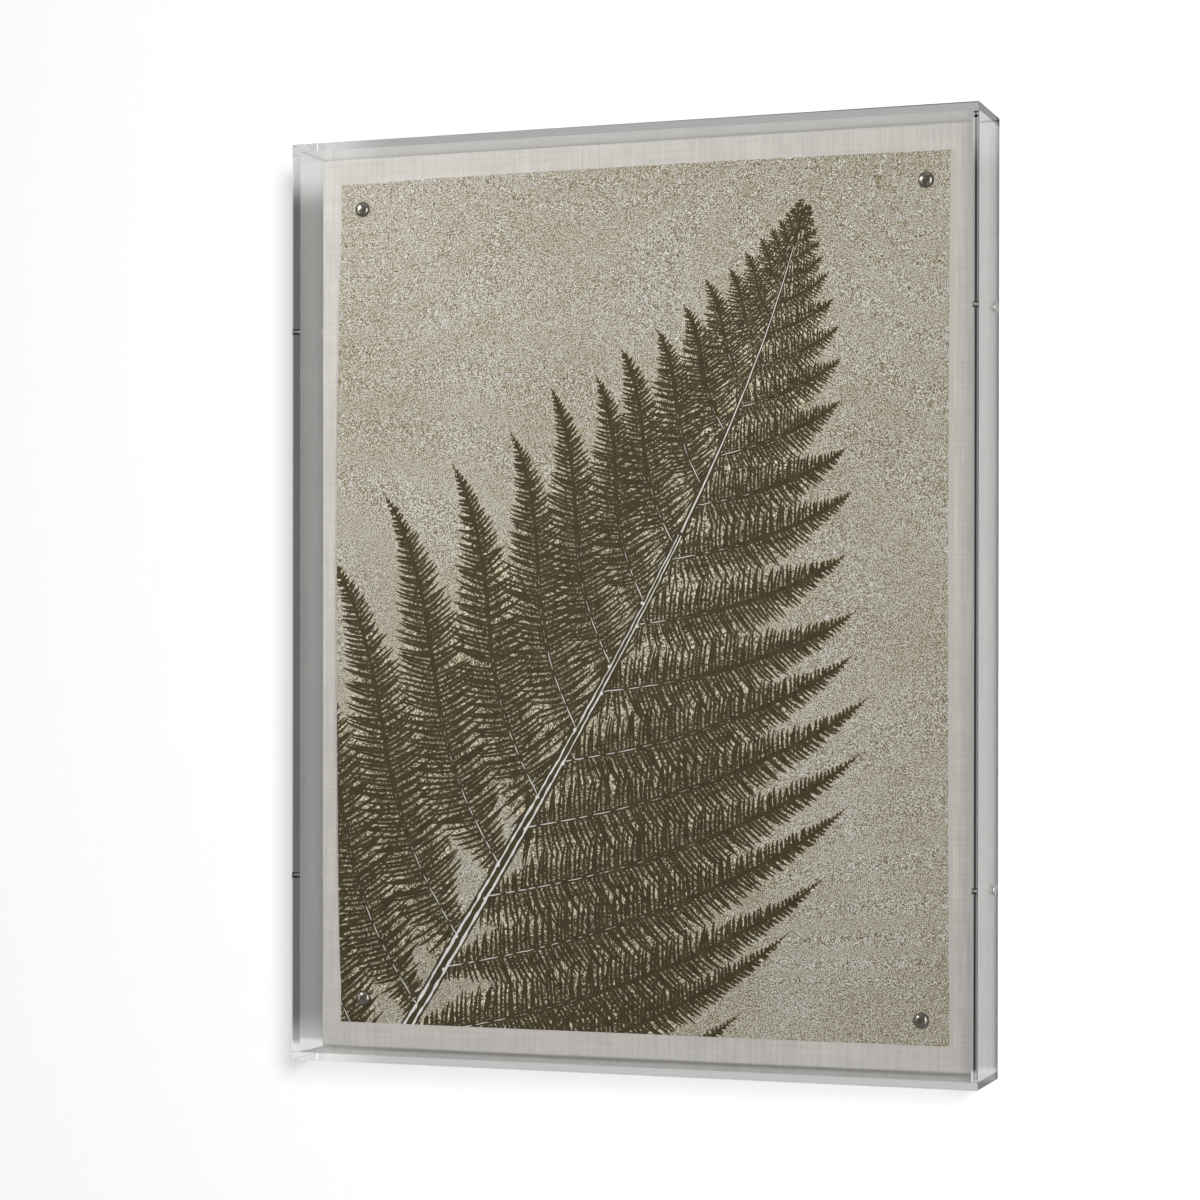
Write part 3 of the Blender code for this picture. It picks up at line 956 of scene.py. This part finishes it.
class Layout:
    """Triangles over the sheet whose edges follow some outlines."""

    def __init__(self, rings, loose):
        millimetre = 1000.0
        points = []
        edges = []
        for ring in rings:
            start = len(points)
            points += [point * millimetre for point in ring]
            edges += [(start + index, start + (index + 1) % len(ring)) for index in range(len(ring))]
        points += [point * millimetre for point in loose]
        spots, _, triangles, _, _, _ = delaunay_2d_cdt(points, edges, [], 0, 0.01, False)
        self.spots = np.array([tuple(spot) for spot in spots]) / millimetre
        self.triangles = np.array(triangles)
        self.middles = self.spots[self.triangles].mean(axis=1)
        self.order = np.argsort(self.middles[:, 0])
        self.sorted_x = self.middles[self.order, 0]

    def within(self, ring):
        """The triangles whose middles lie in an outline."""
        corners = np.array([tuple(point) for point in ring])
        low, high = corners.min(axis=0), corners.max(axis=0)
        first, last = np.searchsorted(self.sorted_x, (low[0], high[0]))
        near = self.order[first:last]
        near = near[(self.middles[near, 1] > low[1]) & (self.middles[near, 1] < high[1])]
        x, z = self.middles[near, 0], self.middles[near, 1]
        inside = np.zeros(len(near), dtype=bool)
        for a, b in zip(corners, np.roll(corners, -1, axis=0)):
            if a[1] == b[1]:
                continue
            crosses = (a[1] > z) != (b[1] > z)
            inside ^= crosses & (x < a[0] + (z - a[1]) * (b[0] - a[0]) / (b[1] - a[1]))
        return near[inside]

    def add_faces(self, bm, verts, outline, holes):
        """Makes the faces in an outline and outside its holes, each with its triangle's number."""
        covered = np.zeros(len(self.triangles), dtype=bool)
        covered[self.within(outline)] = True
        for hole in holes:
            covered[self.within(hole)] = False
        for index in np.flatnonzero(covered):
            yield index, bm.faces.new([verts[corner] for corner in self.triangles[index]])


def delete_loose(bm):
    loose = [vert for vert in bm.verts if not vert.link_faces]
    bmesh.ops.delete(bm, geom=loose, context="VERTS")


def sheet_point(spot, front):
    x, z = float(spot[0]), float(spot[1])
    across = min(max(x / SHEET_WIDTH + 0.5, 0.0), 1.0)
    up = min(max(z / SHEET_HEIGHT + 0.5, 0.0), 1.0)
    y = SHEET_BACK - sheet_lift(across, up) - (SHEET_THICKNESS if front else 0.0)
    return Vector((x + SHEET_SHIFT, y, z + MIDDLE_Z))


def sheet_mesh(look):
    """The printed sheet: its face in areas of ink and ground, its plain back and its edges."""
    columns, rows = grid_lines(SHEET_WIDTH), grid_lines(SHEET_HEIGHT)
    outline = sheet_outline(columns, rows)
    grid = [Vector((x, z)) for x in columns[1:-1] for z in rows[1:-1]]
    holes = nail_holes()
    areas = [(kind, ring) for kind, ring in FernDrawing(look.seed).areas if touches_sheet(ring)]
    followed = [ring for kind, ring in areas if not kind.startswith("gap")]
    layout = Layout([outline] + holes + followed, grid)
    strength = np.zeros(len(layout.triangles), dtype=int)
    for kind, ring in areas:
        hit = layout.within(ring)
        strength[hit] = np.maximum(strength[hit], ORDER.index(kind))

    bm = bmesh.new()
    ink_layer = bm.faces.layers.float.new("ink_share")
    line_layer = bm.faces.layers.float.new("line_share")
    verts = [bm.verts.new(sheet_point(spot, True)) for spot in layout.spots]
    for index, face in layout.add_faces(bm, verts, outline, holes):
        face[ink_layer], face[line_layer] = KINDS[ORDER[strength[index]]]
    delete_loose(bm)
    bm.normal_update()
    face_front(bm)

    rim = [edge for edge in bm.edges if edge.is_boundary]
    grown = bmesh.ops.extrude_edge_only(bm, edges=rim)["geom"]
    back_verts = verts_in(grown)
    bmesh.ops.translate(bm, verts=back_verts, vec=(0, SHEET_THICKNESS, 0))
    for face in {face for vert in back_verts for face in vert.link_faces}:
        face.material_index = 1
    close_back(bm, back_verts, grid)
    bmesh.ops.recalc_face_normals(bm, faces=bm.faces)
    return finish_mesh(bm, "fern_print_sheet", 30.0, recalculate=False)


def close_back(bm, back_verts, grid):
    """Fills the back of the sheet between the rims of its edge and its holes."""
    flat = {vert: Vector((vert.co.x - SHEET_SHIFT, vert.co.z - MIDDLE_Z)) for vert in back_verts}
    left = dict.fromkeys(back_verts)
    loops = []
    while left:
        loop = [left.popitem()[0]]
        while True:
            near = [edge.other_vert(loop[-1]) for edge in loop[-1].link_edges]
            near = [vert for vert in near if vert in left]
            if not near:
                break
            loop.append(near[0])
            del left[near[0]]
        loops.append(loop)
    loops.sort(key=len, reverse=True)
    rings = [[flat[vert] for vert in loop] for loop in loops]
    layout = Layout(rings, grid)
    on_rim = {(round(spot.x, 5), round(spot.y, 5)): vert for vert, spot in flat.items()}
    verts = []
    for spot in layout.spots:
        known = on_rim.get((round(float(spot[0]), 5), round(float(spot[1]), 5)))
        verts.append(known or bm.verts.new(sheet_point(spot, False)))
    for _, face in layout.add_faces(bm, verts, rings[0], rings[1:]):
        face.material_index = 1
    bmesh.ops.remove_doubles(bm, verts=[vert for vert in bm.verts if vert.is_boundary], dist=0.00002)
    delete_loose(bm)


def linen_mesh():
    """Cloth wrapped over the panel and turned in behind it, with soft edges."""
    bm = bmesh.new()
    rear = box_on_wall(bm, PANEL_WIDTH, PANEL_HEIGHT, LINEN_FACE, LINEN_TURN_IN)
    bmesh.ops.delete(bm, geom=rear, context="FACES_ONLY")
    sharp = [edge for edge in bm.edges if edge.calc_face_angle(0.0) > SQUARE_TURN]
    bevel_edges(bm, sharp, 0.0012, 3)
    bmesh.ops.recalc_face_normals(bm, faces=bm.faces)
    face_front(bm)
    bmesh.ops.solidify(bm, geom=list(bm.faces), thickness=LINEN)
    return flatten_large(finish_mesh(bm, "linen_wrap", 40.0, recalculate=False))


def nail_mesh(name, x, z):
    """A dome-headed nail with a rolled rim and a tapered shank."""
    bm = bmesh.new()
    profile = [(0, -NAIL_LENGTH), (NAIL_SHANK_RADIUS * 0.5, -NAIL_LENGTH + 0.0015),
               (NAIL_SHANK_RADIUS, -NAIL_LENGTH + 0.003), (NAIL_SHANK_RADIUS, 0)]
    profile += [(NAIL_HEAD_RADIUS - 0.0004, 0), (NAIL_HEAD_RADIUS - 0.0001, 0.0001),
                (NAIL_HEAD_RADIUS, 0.0004), (NAIL_HEAD_RADIUS - 0.0001, 0.0007)]
    steps = 14
    for step in range(1, steps + 1):
        turn = math.pi / 2 * step / steps
        radius = (NAIL_HEAD_RADIUS - 0.0002) * math.cos(turn)
        profile.append((radius if step < steps else 0.0,
                        0.0007 + (NAIL_HEAD_HEIGHT - 0.0007) * math.sin(turn)))
    turned(bm, profile, 48)
    turn_and_place(bm, "X", 90, (x, SHEET_BACK - SHEET_THICKNESS - GAP, z + MIDDLE_Z))
    return finish_mesh(bm, name, 50.0)


def screw_mesh(name, sideways, z):
    """A round-headed screw with a socket in its head."""
    bm = bmesh.new()
    profile = [(0, -SCREW_LENGTH), (SCREW_SHANK_RADIUS, 0.004 - SCREW_LENGTH), (SCREW_SHANK_RADIUS, 0)]
    steps = 10
    floor = SCREW_HEAD_HEIGHT - SCREW_SOCKET_DEPTH
    for step in range(steps + 1):
        turn = math.pi / 2 * step / steps
        radius = SCREW_HEAD_RADIUS * math.cos(turn)
        if radius > SCREW_SOCKET_RADIUS + 0.0002:
            profile.append((radius, SCREW_HEAD_HEIGHT * math.sin(turn)))
    height = profile[-1][1]
    profile += [(SCREW_SOCKET_RADIUS, height), (SCREW_SOCKET_RADIUS, floor), (0, floor)]
    turned(bm, profile, 40)
    turn_and_place(bm, "Y", 90 * sideways, (sideways * (CASE_WIDTH / 2 + GAP), SCREW_Y, z))
    return finish_mesh(bm, name, 40.0)


class BOXFRAME_OT_clear_case(bpy.types.Operator):
    """Make the clear acrylic case"""
    bl_idname = "box_frame.clear_case"
    bl_label = "Clear Case"

    def execute(self, context):
        look = settings(context, "case")
        piece = add_piece("acrylic_case", case_mesh(look), [clear_material(look)],
                          ["front_sheet", "left_wall", "right_wall", "top_wall", "bottom_wall"])
        piece.visible_shadow = False
        piece.visible_diffuse = False
        return {"FINISHED"}


class BOXFRAME_OT_fern_print(bpy.types.Operator):
    """Make the printed sheet with its fern"""
    bl_idname = "box_frame.fern_print"
    bl_label = "Fern Print"

    def execute(self, context):
        look = settings(context, "print")
        add_piece("fern_print_sheet", sheet_mesh(look), [print_material(look), bare_paper_material()],
                  ["print_sheet"])
        return {"FINISHED"}


class BOXFRAME_OT_linen_wrap(bpy.types.Operator):
    """Make the linen that is wrapped over the panel"""
    bl_idname = "box_frame.linen_wrap"
    bl_label = "Linen"

    def execute(self, context):
        look = settings(context, "linen")
        piece = add_piece("linen_wrap", linen_mesh(), [linen_material(look)], ["linen_cover"])
        return {"FINISHED"}


class BOXFRAME_OT_dome_nails(bpy.types.Operator):
    """Make the four dome-headed nails"""
    bl_idname = "box_frame.dome_nails"
    bl_label = "Dome Nails"

    def execute(self, context):
        metal = nail_material(settings(context, "hardware"))
        for name, x, z in nail_places():
            mesh = nail_mesh("dome_nail_" + name, x, z)
            add_piece("dome_nail_" + name, mesh, [metal], ["nail_" + name])
        return {"FINISHED"}


class BOXFRAME_OT_side_screws(bpy.types.Operator):
    """Make the four screws through the side walls"""
    bl_idname = "box_frame.side_screws"
    bl_label = "Side Screws"

    def execute(self, context):
        metal = screw_material(settings(context, "hardware"))
        for name, sideways, z in screw_places():
            mesh = screw_mesh("side_screw_" + name, sideways, z)
            add_piece("side_screw_" + name, mesh, [metal], ["screw_" + name])
        return {"FINISHED"}


class BOXFRAME_OT_panel_wood(bpy.types.Operator):
    """Give the bars and the board their wood"""
    bl_idname = "box_frame.panel_wood"
    bl_label = "Panel Wood"

    def execute(self, context):
        look = settings(context, "wood")
        lying, standing = (0.06, 1.0, 1.0), (1.0, 1.0, 0.06)
        finishes = {
            "mount_board": board_material(look),
            "top_bar": pine_material("pine_top", look, lying, (1.0, 0.0, 0.0)),
            "bottom_bar": pine_material("pine_bottom", look, lying, (4.0, 1.0, 2.0)),
            "left_bar": pine_material("pine_left", look, standing, (2.0, 3.0, 5.0)),
            "right_bar": pine_material("pine_right", look, standing, (6.0, 2.0, 3.0)),
        }
        for name, material in finishes.items():
            for slot in bpy.data.objects[name].material_slots:
                slot.material = material
        return {"FINISHED"}


def hide_from(piece, *rays):
    """Keeps something unseen by some kinds of light ray."""
    for ray in rays:
        setattr(piece, "visible_" + ray, False)


def add_sheet(name, low, high, material):
    """A flat stage piece between opposite corners; it faces the front, a side or up."""
    across, along = (axis for axis in range(3) if low[axis] != high[axis])
    corners = [Vector(low), Vector(low), Vector(high), Vector(low)]
    corners[1][across] = high[across]
    corners[3][along] = high[along]
    bm = bmesh.new()
    bm.faces.new([bm.verts.new(corner) for corner in corners])
    mesh = bpy.data.meshes.new(name)
    bm.to_mesh(mesh)
    bm.free()
    mesh.materials.append(material)
    piece = add_object(name, mesh)
    return piece


def add_light(name, place, size, power, target=(0.0, -0.03, MIDDLE_Z), colour=WHITE):
    light = bpy.data.lights.new(name, "AREA")
    light.shape = "RECTANGLE"
    light.size, light.size_y = size
    light.energy, light.color = power, colour
    lamp = add_object(name, light)
    lamp.location = place
    lamp.rotation_euler = (Vector(target) - Vector(place)).to_track_quat("-Z", "Y").to_euler()
    return lamp


def add_camera(scene):
    """The photograph's view: from the right, level with the frame's middle."""
    camera = bpy.data.cameras.new("camera")
    camera.sensor_width = 36.0
    camera.lens = 90.371
    camera.shift_y = 0.0833
    camera.clip_start = 0.01
    camera.clip_end = 50.0
    viewer = add_object("camera", camera)
    viewer.location = (0.6801, FRONT - 1.9777, MIDDLE_Z - 0.0602)
    viewer.rotation_euler = (math.radians(90 - 0.263), math.radians(-0.073), math.radians(19.383))
    scene.camera = viewer


def add_wall(room):
    """A wall, open behind the panel, and a floor.

    The eye sees the wall white, and the clear case and the light see a grey one just behind it, which
    glows with painted highlights and painted shade lines.
    """
    wide, (hole, hole_up) = WALL_HALF_WIDTH, WALL_HOLE
    white, grey = wall_material("wall_seen", 0.95, 0.42), room_glow_with_painted_glints(room)
    for side, low_x, high_x, low_z, high_z in (
            ("left", -wide, -hole, FLOOR_Z, WALL_TOP),
            ("right", hole, wide, FLOOR_Z, WALL_TOP),
            ("above", -hole, hole, MIDDLE_Z + hole_up, WALL_TOP),
            ("below", -hole, hole, FLOOR_Z, MIDDLE_Z - hole_up)):
        for kind, y, material, unseen_by in (
                ("wall_", WALL_SEEN_Y, white, ("diffuse", "glossy", "transmission", "shadow")),
                ("room_", ROOM_Y, grey, ("camera",))):
            hide_from(add_sheet(kind + side, (low_x, y, low_z), (high_x, y, high_z), material), *unseen_by)
    add_sheet("floor", (-wide, -4.5, FLOOR_Z), (wide, 3.0, FLOOR_Z), wall_material("floor_paint", 0.5))


def add_shades(share):
    """Strips of the stage, seen by lamps only, that cast the soft shadow of the clear case."""
    top, foot = MIDDLE_Z + RIM_Z, MIDDLE_Z - RIM_Z
    back = -0.001
    for name, kept, low, high in (
            ("shade_left", share, (-RIM_X, FRONT, foot), (-RIM_X, back, top)),
            ("shade_right", share * 0.45, (RIM_X, FRONT, foot), (RIM_X, back, top)),
            ("shade_below", share * 0.45, (-RIM_X, FRONT, foot), (RIM_X, back, foot))):
        strip = add_sheet(name, low, high, shade_material(name, kept))
        hide_from(strip, "camera", "diffuse", "glossy", "transmission")


class BOXFRAME_OT_studio(bpy.types.Operator):
    """Set up the wall, the floor, the light and the camera"""
    bl_idname = "box_frame.studio"
    bl_label = "Studio"

    def execute(self, context):
        look = settings(context, "studio")
        scene = context.scene
        add_wall(look.room)
        key = add_light("key", (1.18, -2.36, 0.16), (0.6, 0.6), look.key_power, colour=(1.0, 1.0, 0.99))
        hide_from(key, "glossy", "transmission")
        fill = add_light("fill", (-0.85, -0.80, 0.35), (0.5, 0.5), look.fill_power, (-0.1, 0.0, -0.2))
        fill.data.use_shadow = False
        lit = bpy.data.collections.new("lit_by_fill")
        for piece in scene.objects:
            if piece.type == "MESH" and not piece.name.startswith(STAGE_NAMES):
                lit.objects.link(piece)
        fill.light_linking.receiver_collection = lit
        for name, place, size, share in (
                ("right_box", (1.90, -1.45, -0.30), (0.75, 1.9), 1.6),
                ("left_box", (-1.85, -1.35, -0.30), (0.7, 1.7), 0.24),
                ("top_box", (0.2, -0.9, 1.7), (1.8, 0.4), 0.22)):
            hide_from(add_light(name, place, size, look.box_power * share), "diffuse")
        add_light("behind", (0.5, 1.8, 0.8), (1.2, 1.2), look.back_power)
        add_shades(look.shade)
        world = bpy.data.worlds.new("plain_room")
        scene.world = world
        world.use_nodes = True
        background = world.node_tree.nodes["Background"]
        background.inputs["Color"].default_value = (*WHITE, 1.0)
        background.inputs["Strength"].default_value = look.surround
        scene.view_settings.view_transform = "Standard"
        scene.view_settings.look = "None"
        add_camera(scene)
        return {"FINISHED"}


OPERATORS = (
    BOXFRAME_OT_clear_case,
    BOXFRAME_OT_fern_print,
    BOXFRAME_OT_linen_wrap,
    BOXFRAME_OT_dome_nails,
    BOXFRAME_OT_side_screws,
    BOXFRAME_OT_panel_wood,
    BOXFRAME_OT_studio,
)


class BOXFRAME_PT_pieces(bpy.types.Panel):
    """Lists the pieces of the box frame"""
    bl_idname = "BOXFRAME_PT_pieces"
    bl_label = "Box Frame"
    bl_space_type = "VIEW_3D"
    bl_region_type = "UI"
    bl_category = "Box Frame"

    def draw(self, context):
        for operator in OPERATORS:
            self.layout.operator(operator.bl_idname)
        for name, group in SETTINGS.items():
            box = self.layout.box()
            box.label(text=group.__doc__)
            for key in group.__annotations__:
                box.prop(getattr(context.scene, name), key)


def register():
    for group in SETTINGS.values():
        bpy.utils.register_class(group)
    for name, group in SETTINGS.items():
        setattr(bpy.types.Scene, name, PointerProperty(type=group))
    for operator in OPERATORS:
        bpy.utils.register_class(operator)
    bpy.utils.register_class(BOXFRAME_PT_pieces)


def unregister():
    bpy.utils.unregister_class(BOXFRAME_PT_pieces)
    for operator in reversed(OPERATORS):
        bpy.utils.unregister_class(operator)
    for name, group in reversed(SETTINGS.items()):
        delattr(bpy.types.Scene, name)
        bpy.utils.unregister_class(group)


def main():
    register()
    for operator in OPERATORS:
        group, name = operator.bl_idname.split(".")
        getattr(getattr(bpy.ops, group), name)()


if __name__ == "__main__":
    main()
